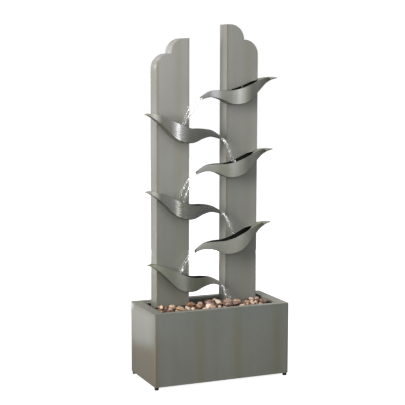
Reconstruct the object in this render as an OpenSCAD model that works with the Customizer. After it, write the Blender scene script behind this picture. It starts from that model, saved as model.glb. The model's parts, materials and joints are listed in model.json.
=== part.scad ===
// Two-tower cascade fountain: a sheet metal tub with a folded rim, two hollow
// towers with stepped round tops, six curved spill leaves that pass the water
// from side to side, a removable pebble tray, and a pump with its hose inside.
// Millimetres. Origin on the floor under the middle of the tub, +Z up, front -Y.

/* [Tub] */
// Width of the tub, left to right
tub_w = 508; // [470:1:560]
// Depth of the tub, front to back
tub_d = 241; // [225:1:280]
// Height of the tub above its feet
tub_h = 254; // [230:1:300]
// Sheet thickness of the tub
tub_t = 1.6; // [1.2:0.1:2.4]
// Outside bend radius of the upright corners
tub_corner_r = 3; // [2.5:0.5:6]
// Width of the folded rim along the front and the back
rim_side = 24; // [16:1:27]
// Width of the folded rim at the two ends
rim_end = 35; // [20:1:40]
// Depth of the lip folded down inside the rim
rim_lip = 8; // [4:1:14]

/* [Feet] */
// Diameter of a rubber foot
foot_d = 15; // [13:0.5:17]
// Height of a rubber foot
foot_h = 10; // [8:0.5:16]
// Distance from the tub's sides to the middle of a foot
foot_inset = 9; // [9:0.5:30]
// Diameter of the screws that hold the feet
foot_screw_d = 4; // [3:0.5:5]

/* [Towers] */
// Width of a tower
tower_w = 122.6; // [118:0.2:130]
// Depth of a tower, front to back
tower_d = 56.3; // [54:0.1:70]
// Gap between the two towers
tower_gap = 140.8; // [120:0.2:160]
// Distance from the tub's front to the towers' faces
tower_setback = 142.8; // [138:0.2:146]
// Sheet thickness of the towers
tower_t = 1.5; // [1:0.1:2]
// Height of the right tower's top above the floor
right_tower_top = 1243.5; // [1200:0.5:1300]
// Height of the left tower's top above the floor
left_tower_top = 1193; // [1150:0.5:1240]
// Radius of the two quarter-round steps on a tower's top
scallop_r = 52.5; // [46:0.5:56]
// Width of the flat ledge between the two steps
scallop_ledge = 2; // [1:0.5:6]

/* [Spill leaves] */
// Length of a leaf from its outer tip to its spout
leaf_len = 293; // [285:1:305]
// Greatest reach of a leaf in front of its tower
leaf_reach = 53; // [46:1:60]
// Drop of the top edge from the outer tip to the spout
leaf_drop = 77; // [60:1:90]
// Greatest height of a leaf's front wall
leaf_wall_h = 57; // [50:1:64]
// Sheet thickness of a leaf
leaf_t = 1.5; // [1:0.1:1.8]
// Radius of the folded corner along a leaf's bottom
leaf_fold_r = 3; // [2.5:0.1:3.4]
// Height of the right leaves' outer tips above the floor
right_leaf_z = [1063, 809, 537]; // [500:1:1080]
// Height of the left leaves' outer tips above the floor
left_leaf_z = [932, 665, 410]; // [400:1:940]
// Reach of the right leaves' tips past the tower's outer side
right_leaf_out = [60, 45, 40]; // [34:1:60]
// Reach of the left leaves' tips past the tower's outer side
left_leaf_out = [58, 57, 51]; // [34:1:60]

/* [Pebble tray] */
// Depth of the tray's underside below the top of the rim
tray_drop = 22; // [19:1:60]
// Gap between the tray and the rim around it
tray_gap = 3; // [2:0.5:6]
// Sheet thickness of the tray and its trestles
tray_t = 1.5; // [1:0.1:2.5]
// Height of the tray's folded edge
tray_edge = 14; // [8:1:18]
// Width of a drain slot
slot_w = 8; // [4:0.5:10]
// Spacing of the drain slots
slot_pitch = 26; // [20:1:40]
// Width of a trestle
trestle_w = 30; // [20:1:40]
// Spacing of the pebbles
pebble_pitch = 35.5; // [35:0.5:40]
// Radius of the largest pebble
pebble_r = 16.5; // [14:0.1:16.6]
// Thickness of the thickest pebble
pebble_h = 21; // [18:0.5:24]

/* [Pump and hose] */
// Outside diameter of the hose
hose_d = 12; // [11:0.5:13]
// Bore of the hose
hose_bore = 9; // [8:0.5:9.5]
// Bend radius of the hose at the pump
hose_bend_r = 48; // [44:1:52]
// Height of the hose's hole in the tower above the tub's sheet bottom
hose_entry_rise = 128; // [124:1:150]
// Width of the pump's motor housing, front to back
pump_w = 42; // [40:1:50]
// Height of the pump's motor housing
pump_h = 48; // [44:1:56]
// Length of the pump's motor housing
pump_l = 46; // [42:1:56]
// Diameter of the rotor magnet
rotor_d = 18; // [14:0.5:20]
// Diameter of the impeller
impeller_d = 26; // [22:0.5:28]
// Diameter of the rotor's ceramic shaft
shaft_d = 3; // [2:0.5:4]

/* [Clearances] */
// Gap round a loose-fitting panel or cover
loose = 0.3; // [0.2:0.1:0.5]
// Radial gap of a turning fit
running = 0.05; // [0.02:0.01:0.09]
// Radial gap of a bolt or a screw in its hole
bolt_gap = 0.1; // [0.05:0.05:0.3]

/* [Hidden] */
$fn = 64;

// Levels and faces that the pieces share
floor_z = foot_h + tub_t;                      // inside bottom of the tub
rim_z = foot_h + tub_h;                        // top of the tub
tower_y = tower_setback - tub_d / 2;           // front face of the towers
tower_back = tower_y + tower_d;                // back face of the towers
tower_in = tower_gap / 2;                      // inner side of a tower
tower_out = tower_in + tower_w;                // outer side of a tower
scallop_flat = tower_w - 2 * scallop_r - scallop_ledge;
open_w = tub_w - 2 * rim_end;                  // opening inside the rim
open_d = tub_d - 2 * rim_side;
foot_x = tub_w / 2 - foot_inset;
foot_y = tub_d / 2 - foot_inset;
hose_inset = 40;                               // from the tower's inner side
hose_x = tower_in + hose_inset;                // hose, elbows and pump outlet
outlet_drop = 62;                              // of the outlet below the top leaf's tip
outlet_z = right_leaf_z[0] - outlet_drop;
spigot_nut_across = 19;                        // of the nut that holds the outlet

// ---------------------------------------------------------------- helpers

// Cylinder from the given point towards +Y
module y_rod(d, l) rotate([-90, 0, 0]) cylinder(h = l, d = d);
// Cylinder from the given point towards +X
module x_rod(d, l) rotate([0, 90, 0]) cylinder(h = l, d = d);

// Hexagonal nut along +Z with a bore
module hex_nut(across, h, bore) difference() {
    cylinder(h = h, d = across / cos(30), $fn = 6);
    translate([0, 0, -1]) cylinder(h = h + 2, d = bore);
}

// Rectangle with round corners, centred
module rounded_rect(w, d, r) {
    square([w - 2 * r, d], center = true);
    square([w, d - 2 * r], center = true);
    for (sx = [-1, 1], sy = [-1, 1])
        translate([sx * (w / 2 - r), sy * (d / 2 - r)]) circle(r);
}

// Copies of a piece at the four feet
module at_feet() for (sx = [-1, 1], sy = [-1, 1])
    translate([sx * foot_x, sy * foot_y, 0]) children();

// ---------------------------------------------------------------- tub

grommet_x = (tower_in + tower_out) / 2;
grommet_drop = 34;                             // below the top of the rim
grommet_z = rim_z - grommet_drop;
grommet_bore = 8;
grommet_groove_d = 14;
grommet_flange_d = 19;
grommet_flange_t = 2;

weld_gap = 0.05;                               // round the bottom plate

// Wrap of sheet that makes the four walls
module tub_shell() color([0.47, 0.49, 0.46]) difference() {
    translate([0, 0, foot_h]) linear_extrude(tub_h - tub_t) difference() {
        rounded_rect(tub_w, tub_d, tub_corner_r);
        rounded_rect(tub_w - 2 * tub_t, tub_d - 2 * tub_t, tub_corner_r - tub_t);
    }
    translate([grommet_x, tub_d / 2 - tub_t - 1, grommet_z])
        y_rod(grommet_groove_d, tub_t + 2);
}

// Bottom plate welded inside the walls
module tub_base() color([0.45, 0.47, 0.44]) difference() {
    translate([0, 0, foot_h]) linear_extrude(tub_t)
        rounded_rect(tub_w - 2 * tub_t - 2 * weld_gap, tub_d - 2 * tub_t - 2 * weld_gap,
                     tub_corner_r - tub_t);
    at_feet() translate([0, 0, foot_h - 1])
        cylinder(h = tub_t + 2, d = foot_screw_d + 2 * bolt_gap);
    at_brackets() translate([bracket_bolt_in, 0, foot_h - 1])
        cylinder(h = tub_t + 2, d = base_bolt_d + 2 * bolt_gap);
}

// Mitred frame welded on top of the walls, with a lip folded down inside
module tub_rim() color([0.48, 0.50, 0.47]) {
    translate([0, 0, rim_z - tub_t]) linear_extrude(tub_t) difference() {
        rounded_rect(tub_w, tub_d, tub_corner_r);
        square([open_w, open_d], center = true);
    }
    translate([0, 0, rim_z - rim_lip]) linear_extrude(rim_lip) difference() {
        square([open_w + 2 * tub_t, open_d + 2 * tub_t], center = true);
        square([open_w, open_d], center = true);
    }
}

// Rubber ring in the back wall, where the pump's lead would leave the tub
module cord_grommet() color([0.07, 0.07, 0.07])
    translate([grommet_x, tub_d / 2 - tub_t / 2, grommet_z]) rotate([-90, 0, 0])
    difference() {
        union() {
            for (side = [-1, 1])
                translate([0, 0, side * (tub_t + grommet_flange_t) / 2])
                    cylinder(h = grommet_flange_t, d = grommet_flange_d, center = true);
            cylinder(h = tub_t + grommet_flange_t, d = grommet_groove_d, center = true);
        }
        cylinder(h = 20, d = grommet_bore, center = true);
    }

// ---------------------------------------------------------------- feet

foot_screw_head_h = 2.6;
foot_counterbore = 5.6;                        // from the floor to the screw's seat
foot_nut_h = 3.2;
thread_end = 2;                                // of a screw past its nut or its hole

module rubber_feet() color([0.06, 0.06, 0.06]) at_feet() difference() {
    cylinder(h = foot_h, d = foot_d);
    translate([0, 0, -1]) cylinder(h = foot_h + 2, d = foot_screw_d + 2 * bolt_gap);
    translate([0, 0, -1]) cylinder(h = foot_counterbore + 1, d = 2.1 * foot_screw_d);
}

module foot_screws() color([0.7, 0.7, 0.72]) at_feet() {
    translate([0, 0, foot_counterbore - foot_screw_head_h])
        cylinder(h = foot_screw_head_h, d = 1.8 * foot_screw_d);
    translate([0, 0, foot_counterbore - 0.5])
        cylinder(h = floor_z + foot_nut_h + thread_end + 0.5 - foot_counterbore,
                 d = foot_screw_d);
}

module foot_nuts() color([0.7, 0.7, 0.72]) at_feet() translate([0, 0, floor_z])
    hex_nut(1.75 * foot_screw_d, foot_nut_h, foot_screw_d + 2 * bolt_gap);

// ---------------------------------------------------------------- towers

// Face of a tower, drawn for the right one from its inner side, taken in by an
// even inset on every side but the foot
module tower_face(top, inset) {
    r = scallop_r - inset;
    low = floor_z;
    step = top - scallop_r;
    intersection() {
        union() {
            translate([0, low]) square([scallop_flat, top - inset - low]);
            translate([0, low]) square([scallop_flat + scallop_r - inset, step - low]);
            translate([scallop_flat, step]) circle(r, $fn = 128);
            translate([0, low]) square([tower_w - scallop_r, step - scallop_r - low + r]);
            translate([0, low]) square([tower_w - inset, step - scallop_r - low]);
            translate([tower_w - scallop_r, step - scallop_r]) circle(r, $fn = 128);
        }
        translate([inset, low]) square([tower_w, top]);
    }
}

// A sheet or block with that face, from y0, in the place of the right tower
module tower_slab(top, inset, y0, thick)
    translate([tower_in, y0 + thick, 0]) rotate([90, 0, 0])
        linear_extrude(thick) tower_face(top, inset);

// Tabs inside a tower that take the back panel's screws
tab_w = 15;
tab_h = 18;
tab_t = 2;
panel_screw_d = 3;
panel_head_h = 1.6;
tab_levels = [80, 420, 760];                   // above the inside bottom
top_tab_drop = 30;                             // below the foot of the lower step
panel_y = tower_back - tower_t;                // front face of a back panel
function tab_xs(side) = side < 0
    ? tower_in + tower_t + tab_w / 2 : tower_out - tower_t - tab_w / 2;
module at_tabs(top) for (z = [for (l = tab_levels) floor_z + l, top - 2 * scallop_r - top_tab_drop])
    for (side = [-1, 1]) translate([tab_xs(side), panel_y, z]) children();

// Brackets that bolt a tower to the tub's bottom
bracket_leg = 30;
bracket_t = 2.5;
bracket_w = 28;
bracket_bolt_in = 18;                          // from the tower's side wall
base_bolt_d = 5;
side_screw_d = 4;
side_screw_z = floor_z + 20;
bracket_y = tower_y + tower_d / 2;
module at_brackets() for (m = [0, 1]) mirror([m, 0, 0]) {
    translate([tower_in + tower_t, bracket_y, 0]) children();
    translate([tower_out - tower_t, bracket_y, 0]) mirror([1, 0, 0]) children();
}

stud_d = 5;
stud_hole_d = stud_d + 2 * bolt_gap;
// Studs of a leaf: distance from the outer tip, and drop from the tip
stud_spots = [[72, 30], [112, 64]];

module tower_shell(top, leaf_z, leaf_out) difference() {
    union() {
        difference() {
            tower_slab(top, 0, tower_y, tower_d);
            translate([0, 0, -1]) tower_slab(top + 1, tower_t, tower_y + tower_t, tower_d);
            translate([tower_in + tower_t, tower_y + tower_t, floor_z - 1])
                cube([tower_w - 2 * tower_t, tower_d, 2]);
        }
        at_tabs(top) translate([-tab_w / 2, -tab_t, -tab_h / 2]) cube([tab_w, tab_t, tab_h]);
    }
    at_tabs(top) translate([0, -tab_t - 1, 0]) y_rod(panel_screw_d + 2 * bolt_gap, tab_t + 2);
    for (x = [tower_in - 1, tower_out - tower_t - 1])
        translate([x, bracket_y, side_screw_z])
            x_rod(side_screw_d + 2 * bolt_gap, tower_t + 2);
    for (i = [0:2]) for (s = stud_spots)
        translate([tower_out + leaf_out[i] - s[0], tower_y - 1, leaf_z[i] - s[1]])
            y_rod(stud_hole_d, tower_t + 2);
}

module left_tower_shell() color([0.50, 0.52, 0.49])
    mirror([1, 0, 0]) tower_shell(left_tower_top, left_leaf_z, left_leaf_out);

module right_tower_shell() color([0.46, 0.48, 0.45]) difference() {
    tower_shell(right_tower_top, right_leaf_z, right_leaf_out);
    translate([hose_x, tower_y - 1, hose_entry_z])
        y_rod(entry_groove_d, tower_t + 2);
    translate([hose_x, tower_y - 1, outlet_z])
        y_rod(spigot_d + 2 * bolt_gap, tower_t + 2);
}

module back_panel(top) difference() {
    tower_slab(top, tower_t + loose, panel_y, tower_t);
    at_tabs(top) translate([0, -1, 0]) y_rod(panel_screw_d + 2 * bolt_gap, tower_t + 2);
}
module left_back_panel() color([0.48, 0.50, 0.47])
    mirror([1, 0, 0]) back_panel(left_tower_top);
module right_back_panel() color([0.45, 0.47, 0.44]) back_panel(right_tower_top);

// Screws with low round heads through a back panel into the tabs
module panel_screws(top) at_tabs(top) {
    translate([0, tower_t, 0]) y_rod(2 * panel_screw_d, panel_head_h);
    translate([0, -tab_t - thread_end, 0])
        y_rod(panel_screw_d, tab_t + thread_end + tower_t + 0.5);
}
module left_panel_screws() color([0.6, 0.6, 0.6])
    mirror([1, 0, 0]) panel_screws(left_tower_top);
module right_panel_screws() color([0.6, 0.6, 0.6]) panel_screws(right_tower_top);

module tower_brackets() color([0.62, 0.63, 0.62]) at_brackets() difference() {
    union() {
        translate([0, -bracket_w / 2, floor_z]) cube([bracket_leg, bracket_w, bracket_t]);
        translate([0, -bracket_w / 2, floor_z]) cube([bracket_t, bracket_w, bracket_leg]);
    }
    translate([bracket_bolt_in, 0, floor_z - 1])
        cylinder(h = bracket_t + 2, d = base_bolt_d + 2 * bolt_gap);
    translate([-1, 0, side_screw_z]) x_rod(side_screw_d + 2 * bolt_gap, bracket_t + 2);
}

base_nut_h = 4;
base_head_h = 3;
side_head_h = 2;
module bracket_bolts() color([0.7, 0.7, 0.72]) at_brackets()
    translate([bracket_bolt_in, 0, 0]) {
        translate([0, 0, foot_h - base_head_h]) cylinder(h = base_head_h, d = 2 * base_bolt_d);
        translate([0, 0, foot_h - 0.5])
            cylinder(h = 0.5 + tub_t + bracket_t + base_nut_h + thread_end, d = base_bolt_d);
    }
module bracket_nuts() color([0.7, 0.7, 0.72]) at_brackets()
    translate([bracket_bolt_in, 0, floor_z + bracket_t])
        hex_nut(1.6 * base_bolt_d, base_nut_h, base_bolt_d + 2 * bolt_gap);

// Short screws through the towers' sides into the brackets
module bracket_side_screws() color([0.6, 0.6, 0.6]) at_brackets()
    translate([0, 0, side_screw_z]) {
        translate([-tower_t - side_head_h, 0, 0]) x_rod(2 * side_screw_d, side_head_h);
        translate([-tower_t - 0.5, 0, 0])
            x_rod(side_screw_d, tower_t + 0.5 + bracket_t + thread_end);
    }

// ---------------------------------------------------------------- spill leaves

// Shape of a leaf at stations along it, each in percent: place along the
// length, reach of the front wall, fall of the top edge, height of the wall
leaf_stations = [
    [0, 41, 0, 10], [7, 53, -3, 25], [16, 72, 0, 39], [27, 91, 14, 70],
    [38, 100, 34, 100], [50, 98, 53, 98], [62, 88, 64, 84], [74, 76, 65, 58],
    [85, 58, 70, 40], [93, 47, 84, 28], [100, 40, 100, 18]
];
leaf_rings = 44;                               // sections along a leaf
tail_rings = 5;                                // of them in the solid outer tail
back_flat = [0.2, 0.63];                       // share of the length against the tower
tail_back = 0.3;                               // reach of the back wall at the tail
spout_back = 0.245;                            // reach of the back wall at the spout
seam_gap = 1;                                  // slot where the folded lips meet
lip_min = 0.4;                                 // reach of an unfolded lip past the wall
lip_dip = 0.3;                                 // fall of a lip towards its free edge

// Slope of a station's column, from its neighbours
function slope(i, c) = let (n = len(leaf_stations) - 1, a = max(i - 1, 0), b = min(i + 1, n))
    (leaf_stations[b][c] - leaf_stations[a][c]) / (leaf_stations[b][0] - leaf_stations[a][0]);
// Station that a place lies after
function seg(p, i = 0) = i >= len(leaf_stations) - 2 || p < leaf_stations[i + 1][0]
    ? i : seg(p, i + 1);
// Smooth curve through a column of the stations
function along(p, c) = let (
        i = seg(p), a = leaf_stations[i], b = leaf_stations[i + 1],
        w = b[0] - a[0], t = (p - a[0]) / w,
        t2 = t * t, t3 = t2 * t)
    (2 * t3 - 3 * t2 + 1) * a[c] + (t3 - 2 * t2 + t) * w * slope(i, c)
    + (3 * t2 - 2 * t3) * b[c] + (t3 - t2) * w * slope(i + 1, c);
function smooth(a, b, v) = let (t = min(max((v - a) / (b - a), 0), 1)) t * t * (3 - 2 * t);

function leaf_front(u) = leaf_reach * along(100 * u, 1) / 100;
function leaf_top(u) = -leaf_drop * along(100 * u, 2) / 100;
function leaf_low(u) = leaf_top(u) - leaf_wall_h * along(100 * u, 3) / 100;
function leaf_back(u) = u < back_flat[0]
    ? leaf_reach * tail_back * pow(1 - u / back_flat[0], 2)
    : u < back_flat[1] ? 0
    : leaf_reach * spout_back * pow((u - back_flat[1]) / (1 - back_flat[1]), 1.6);
// How far the two top edges are folded together, from 0 to 1
function leaf_fold(u) = max(1 - smooth(0.17, 0.27, u), smooth(0.7, 0.92, u));

// Section of a leaf: the outside from the back lip round to the front lip,
// then the inside back again. The back wall dips to the notch's bottom where
// the section lies in the notch, a [place, half width, bottom] along the leaf.
function leaf_ring(u, notch) = let (
        f = -leaf_front(u), b = -leaf_back(u), top = leaf_top(u), low = leaf_low(u),
        sill = abs(u * leaf_len - notch[0]) < notch[1] ? min(top, notch[2]) : top,
        r = leaf_fold_r, ri = max(r - leaf_t, 0.5), c = cos(45),
        bead = leaf_t + lip_min,
        lip = bead + (((b - f) - seam_gap) / 2 - bead) * leaf_fold(u),
        yz = [
            [b - lip, sill - lip_dip], [b, sill], [b, low],
            [f + r, low], [f + r - r * c, low + r - r * c], [f, low + r],
            [f, top], [f + lip, top - lip_dip],
            [f + lip, top - lip_dip - leaf_t], [f + leaf_t, top - leaf_t],
            [f + leaf_t, low + leaf_t + ri],
            [f + leaf_t + ri - ri * c, low + leaf_t + ri - ri * c],
            [f + leaf_t + ri, low + leaf_t],
            [b - leaf_t, low + leaf_t], [b - leaf_t, sill - leaf_t],
            [b - lip, sill - lip_dip - leaf_t]
        ])
    [for (p = yz) [u * leaf_len, p[0], p[1]]];

// Leaf with its outer tip at the origin and its length towards +X
no_notch = [0, 0, 0];
module leaf(notch) {
    n = 16;
    outer = 8;
    pts = [for (k = [0:leaf_rings]) each leaf_ring(k / leaf_rings, notch)];
    tail = [for (k = [0:tail_rings - 1], j = [0:outer - 1])
        [k * n + j, k * n + (j + 1) % outer,
         (k + 1) * n + (j + 1) % outer, (k + 1) * n + j]];
    trough = [for (k = [tail_rings:leaf_rings - 1], j = [0:n - 1])
        [k * n + j, k * n + (j + 1) % n,
         (k + 1) * n + (j + 1) % n, (k + 1) * n + j]];
    tip = [[for (j = [outer - 1:-1:0]) j]];
    bulkhead = [[tail_rings * n, for (j = [n - 1:-1:outer - 1]) tail_rings * n + j]];
    spout = [[for (j = [0:n - 1]) leaf_rings * n + j]];
    polyhedron(points = pts, faces = concat(tail, trough, tip, bulkhead, spout), convexity = 6);
}

// Leaf i of a side, in its place: side 1 is the right tower and -1 the left
module leaf_at(side, i, notch = no_notch) {
    z = side > 0 ? right_leaf_z[i] : left_leaf_z[i];
    out = side > 0 ? right_leaf_out[i] : left_leaf_out[i];
    mirror([side > 0 ? 1 : 0, 0, 0])
        translate([-tower_out - out, tower_y, z]) leaf(notch);
}
// The top leaf has a notch in its back wall for the outlet and its nut
outlet_notch = [
    tower_out + right_leaf_out[0] - hose_x,
    spigot_nut_across / 2 + leaf_len / leaf_rings + 2,
    -outlet_drop - spigot_nut_across / 2 - 2
];
module right_leaf_1() color([0.50, 0.52, 0.50]) leaf_at(1, 0, outlet_notch);
module right_leaf_2() color([0.50, 0.52, 0.50]) leaf_at(1, 1);
module right_leaf_3() color([0.50, 0.52, 0.50]) leaf_at(1, 2);
module left_leaf_1() color([0.50, 0.52, 0.50]) leaf_at(-1, 0);
module left_leaf_2() color([0.50, 0.52, 0.50]) leaf_at(-1, 1);
module left_leaf_3() color([0.50, 0.52, 0.50]) leaf_at(-1, 2);

// Studs welded to the back of each leaf, through the tower's face
stud_len = 13;
stud_nut_h = 4;
module at_studs(leaf_z, leaf_out) for (i = [0:2]) for (s = stud_spots)
    translate([tower_out + leaf_out[i] - s[0], tower_y, leaf_z[i] - s[1]]) children();
module left_leaf_studs() color([0.62, 0.62, 0.62])
    mirror([1, 0, 0]) at_studs(left_leaf_z, left_leaf_out) y_rod(stud_d, stud_len);
module right_leaf_studs() color([0.62, 0.62, 0.62])
    at_studs(right_leaf_z, right_leaf_out) y_rod(stud_d, stud_len);
module stud_nut() translate([0, tower_t, 0]) rotate([-90, 0, 0])
    hex_nut(1.6 * stud_d, stud_nut_h, stud_d + 2 * bolt_gap);
module left_leaf_nuts() color([0.7, 0.7, 0.72])
    mirror([1, 0, 0]) at_studs(left_leaf_z, left_leaf_out) stud_nut();
module right_leaf_nuts() color([0.7, 0.7, 0.72])
    at_studs(right_leaf_z, right_leaf_out) stud_nut();

// ---------------------------------------------------------------- pebble tray

tray_z = rim_z - tray_drop;                    // underside of the tray
tray_w = open_w - 2 * tray_gap;
tray_front = -open_d / 2 + tray_gap;
tray_back = tower_y - tray_gap;
tray_d = tray_back - tray_front;
trestle_inset = 22;                            // from the tray's end to its middle
trestle_foot = 14;
trestle_x = tray_w / 2 - trestle_inset;
slot_margin = 16;

// Loose trestles of folded strip that stand on the tub's bottom
module tray_trestles() color([0.35, 0.36, 0.35]) for (side = [-1, 1])
    translate([side * trestle_x - trestle_w / 2, 0, 0]) {
        inner = [tray_front + tray_gap, tray_back - tray_gap];
        translate([0, inner[0], tray_z - tray_t])
            cube([trestle_w, inner[1] - inner[0], tray_t]);
        for (y = [inner[0], inner[1] - tray_t]) translate([0, y, floor_z])
            cube([trestle_w, tray_t, tray_z - floor_z]);
        for (y = [inner[0], inner[1] - trestle_foot]) translate([0, y, floor_z])
            cube([trestle_w, trestle_foot, tray_t]);
    }

module pebble_tray() color([0.30, 0.31, 0.30]) difference() {
    translate([-tray_w / 2, tray_front, tray_z]) cube([tray_w, tray_d, tray_edge]);
    translate([-tray_w / 2 + tray_t, tray_front + tray_t, tray_z + tray_t])
        cube([tray_w - 2 * tray_t, tray_d - 2 * tray_t, tray_edge]);
    slots = floor((tray_w / 2 - slot_margin) / slot_pitch);
    for (i = [-slots:slots])
        translate([i * slot_pitch - slot_w / 2, tray_front + slot_margin, tray_z - 1])
            cube([slot_w, tray_d - 2 * slot_margin, tray_t + 2]);
}

// Flat round pebbles: one layer on the tray, and a second on parts of it
bed_z = tray_z + tray_t;
bed_w = tray_w - 2 * tray_t - 2 * loose;
bed_d = tray_d - 2 * tray_t - 2 * loose;
bed_mid = (tray_front + tray_back) / 2;
pebble_gap = 0.05;
rows = floor(bed_d / pebble_pitch);
row_pitch = bed_d / rows;
cols = floor(bed_w / pebble_pitch - 0.5);
shuffle = rands(0, 1, 400, 7);
function pick(i, k) = shuffle[(i * 5 + k * 83 + 11) % 400];
// A pebble is [x, y, radius, height, bottom, colour]
lower = [for (j = [0:rows - 1], i = [0:cols - 1]) let (n = j * cols + i) [
    (i - (cols - 1) / 2 + (j % 2 == 0 ? -0.25 : 0.25)) * pebble_pitch,
    bed_mid + (j - (rows - 1) / 2) * row_pitch,
    pebble_r * (0.84 + 0.16 * pick(n, 0)),
    pebble_h * (0.72 + 0.28 * pick(n, 1)),
    bed_z,
    floor(3 * pick(n, 2))
]];
// The heap is two layers deep here: limits along the tray, in widths of it
heaps = [[-0.42, -0.3], [-0.2, 0.26], [0.4, 0.5]];
function heaped(x) = len([for (h = heaps) if (x > h[0] * tray_w && x < h[1] * tray_w) 1]) > 0;
// Bottom of an upper pebble that its round edge brings to rest on the lower ones
function rest_on(x, y, r, h) = pebble_gap - h / 2 + max([for (p = lower) let (
        aside = max(0, norm([x - p[0], y - p[1]]) - (r - h / 2) - (p[2] - p[3] / 2)),
        reach = (h + p[3]) / 2)
    if (aside < reach) p[4] + p[3] / 2 + sqrt(reach * reach - aside * aside)]);
upper = [for (j = [0:rows - 2], i = [0:cols - 1]) let (
        n = 200 + j * cols + i,
        x = (i - (cols - 1) / 2 + (j % 2 == 0 ? 0.25 : -0.25)) * pebble_pitch,
        y = bed_mid + (j - (rows - 2) / 2) * row_pitch,
        r = pebble_r * (0.84 + 0.16 * pick(n, 0)),
        h = pebble_h * (0.7 + 0.3 * pick(n, 1)))
    if (heaped(x) && abs(x) + r < bed_w / 2)
        [x, y, r, h, rest_on(x, y, r, h), floor(3 * pick(n, 2))]];

module pebble(p) translate([p[0], p[1], p[4]]) rotate_extrude($fn = 48) intersection() {
    union() {
        translate([p[2] - p[3] / 2, p[3] / 2]) circle(p[3] / 2);
        square([p[2] - p[3] / 2, p[3]]);
    }
    square([p[2], p[3]]);
}
module pebbles(colour) for (p = concat(lower, upper)) if (p[5] == colour) pebble(p);
module cream_pebbles() color([0.82, 0.74, 0.66]) pebbles(0);
module rose_pebbles() color([0.66, 0.45, 0.38]) pebbles(1);
module brown_pebbles() color([0.36, 0.24, 0.18]) pebbles(2);

// ---------------------------------------------------------------- pump

pump_setback = 80;                             // from the tub's front to the rotor axis
pump_y = pump_setback - tub_d / 2;
cup_h = 5;
cup_d = 13;
pump_z0 = floor_z + cup_h;                     // underside of the pump
axis_z = pump_z0 + pump_h / 2;
cover_l = 15;
cover_wall = 2;
pump_x = hose_x + cover_l / 2;                 // front face of the motor housing
well_l = 31;
magnet_l = 27;
chamber_d = impeller_d + 3;
chamber_l = cover_l - cover_wall;
blade_l = 8;
blade_t = 1.6;
hub_d = 7;
disc_t = 2;
disc_gap = 0.5;                                // between the disc and the motor's face
grille_l = 12;
grille_wall = 1.5;
cover_x = pump_x - cover_l;                    // front face of the volute cover

module suction_cups() color([0.1, 0.1, 0.1])
    for (x = [9, pump_l - 9]) for (side = [-1, 1])
        translate([pump_x + x, pump_y + side * (pump_w / 2 - 9), floor_z]) {
            cylinder(h = cup_h - 2, d1 = cup_d, d2 = 6);
            cylinder(h = cup_h, d = 5);
        }

// Sealed motor with a blind well for the rotor and fins round its rear half
fin_pitch = 6;
fin_t = 2.5;
fin_rise = 1.5;
fin_start = 12;
gland_d = 9;
gland_l = 12;
gland_bore = 6;
gland_seat = 4;
gland_rise = 12;                               // above the rotor axis
module pump_housing() color([0.12, 0.12, 0.13]) difference() {
    union() {
        translate([pump_x, pump_y, axis_z]) rotate([0, 90, 0])
            linear_extrude(pump_l) rounded_rect(pump_h, pump_w, 4);
        for (i = [0:4]) translate([pump_x + fin_start + fin_pitch * i, pump_y, axis_z])
            rotate([0, 90, 0]) linear_extrude(fin_t)
                rounded_rect(pump_h - 10, pump_w + 2 * fin_rise, 3);
    }
    translate([pump_x - 1, pump_y, axis_z]) x_rod(rotor_d + 1, well_l + 1);
    translate([pump_x + well_l - 1, pump_y, axis_z]) x_rod(shaft_d, 6);
    translate([pump_x + pump_l - gland_seat, pump_y, axis_z + gland_rise])
        x_rod(gland_d, gland_seat + 1);
}

// Gland where the lead would enter the motor, left empty
module pump_gland() color([0.08, 0.08, 0.08])
    translate([pump_x + pump_l - gland_seat, pump_y, axis_z + gland_rise]) difference() {
        x_rod(gland_d, gland_l);
        translate([gland_seat + 1, 0, 0]) x_rod(gland_bore, gland_l);
    }

// Ceramic shaft, held in a blind seat in the cover and one in the housing
shaft_seat = 1.2;
module rotor_shaft() color([0.92, 0.92, 0.9])
    translate([cover_x + cover_wall - shaft_seat, pump_y, axis_z])
        x_rod(shaft_d, shaft_seat + chamber_l + well_l + 4.5);

// Rotor magnet and impeller in one piece, turning on the shaft
module impeller() color([0.85, 0.85, 0.87])
    translate([pump_x, pump_y, axis_z]) difference() {
        union() {
            translate([1, 0, 0]) x_rod(rotor_d, magnet_l);
            translate([-disc_gap - disc_t, 0, 0]) x_rod(impeller_d, disc_t);
            translate([-blade_l - 1, 0, 0]) x_rod(hub_d, blade_l + 2.5);
            for (i = [0:5]) rotate([60 * i, 0, 0])
                translate([-blade_l - 1, -blade_t / 2, 2])
                    cube([blade_l, blade_t, impeller_d / 2 - 2.5]);
        }
        translate([-blade_l - 2, 0, 0]) x_rod(shaft_d + 2 * running, blade_l + magnet_l + 4);
    }

// Pump cover with the impeller chamber, the intake hole and the hose barb
barb_d = hose_bore - 0.1;
barb_bore = 6;
barb_l = 16;
module volute_cover() color([0.16, 0.16, 0.17]) difference() {
    union() {
        translate([cover_x, pump_y, axis_z]) rotate([0, 90, 0])
            linear_extrude(cover_l) rounded_rect(pump_h, pump_w, 4);
        translate([hose_x, pump_y, axis_z + pump_h / 2 - 1]) {
            cylinder(h = 4, d = hose_d + 2);
            cylinder(h = 4 + barb_l, d = barb_d);
        }
    }
    translate([cover_x + cover_wall, pump_y, axis_z]) x_rod(chamber_d, cover_l);
    translate([cover_x + cover_wall - shaft_seat, pump_y, axis_z]) x_rod(shaft_d, cover_l);
    for (i = [0:2]) translate([cover_x, pump_y, axis_z]) rotate([120 * i, 0, 0])
        translate([-1, 0, shaft_d / 2 + 4]) x_rod(4.5, cover_l);
    translate([hose_x, pump_y, axis_z]) cylinder(h = pump_h, d = barb_bore);
}

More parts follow.
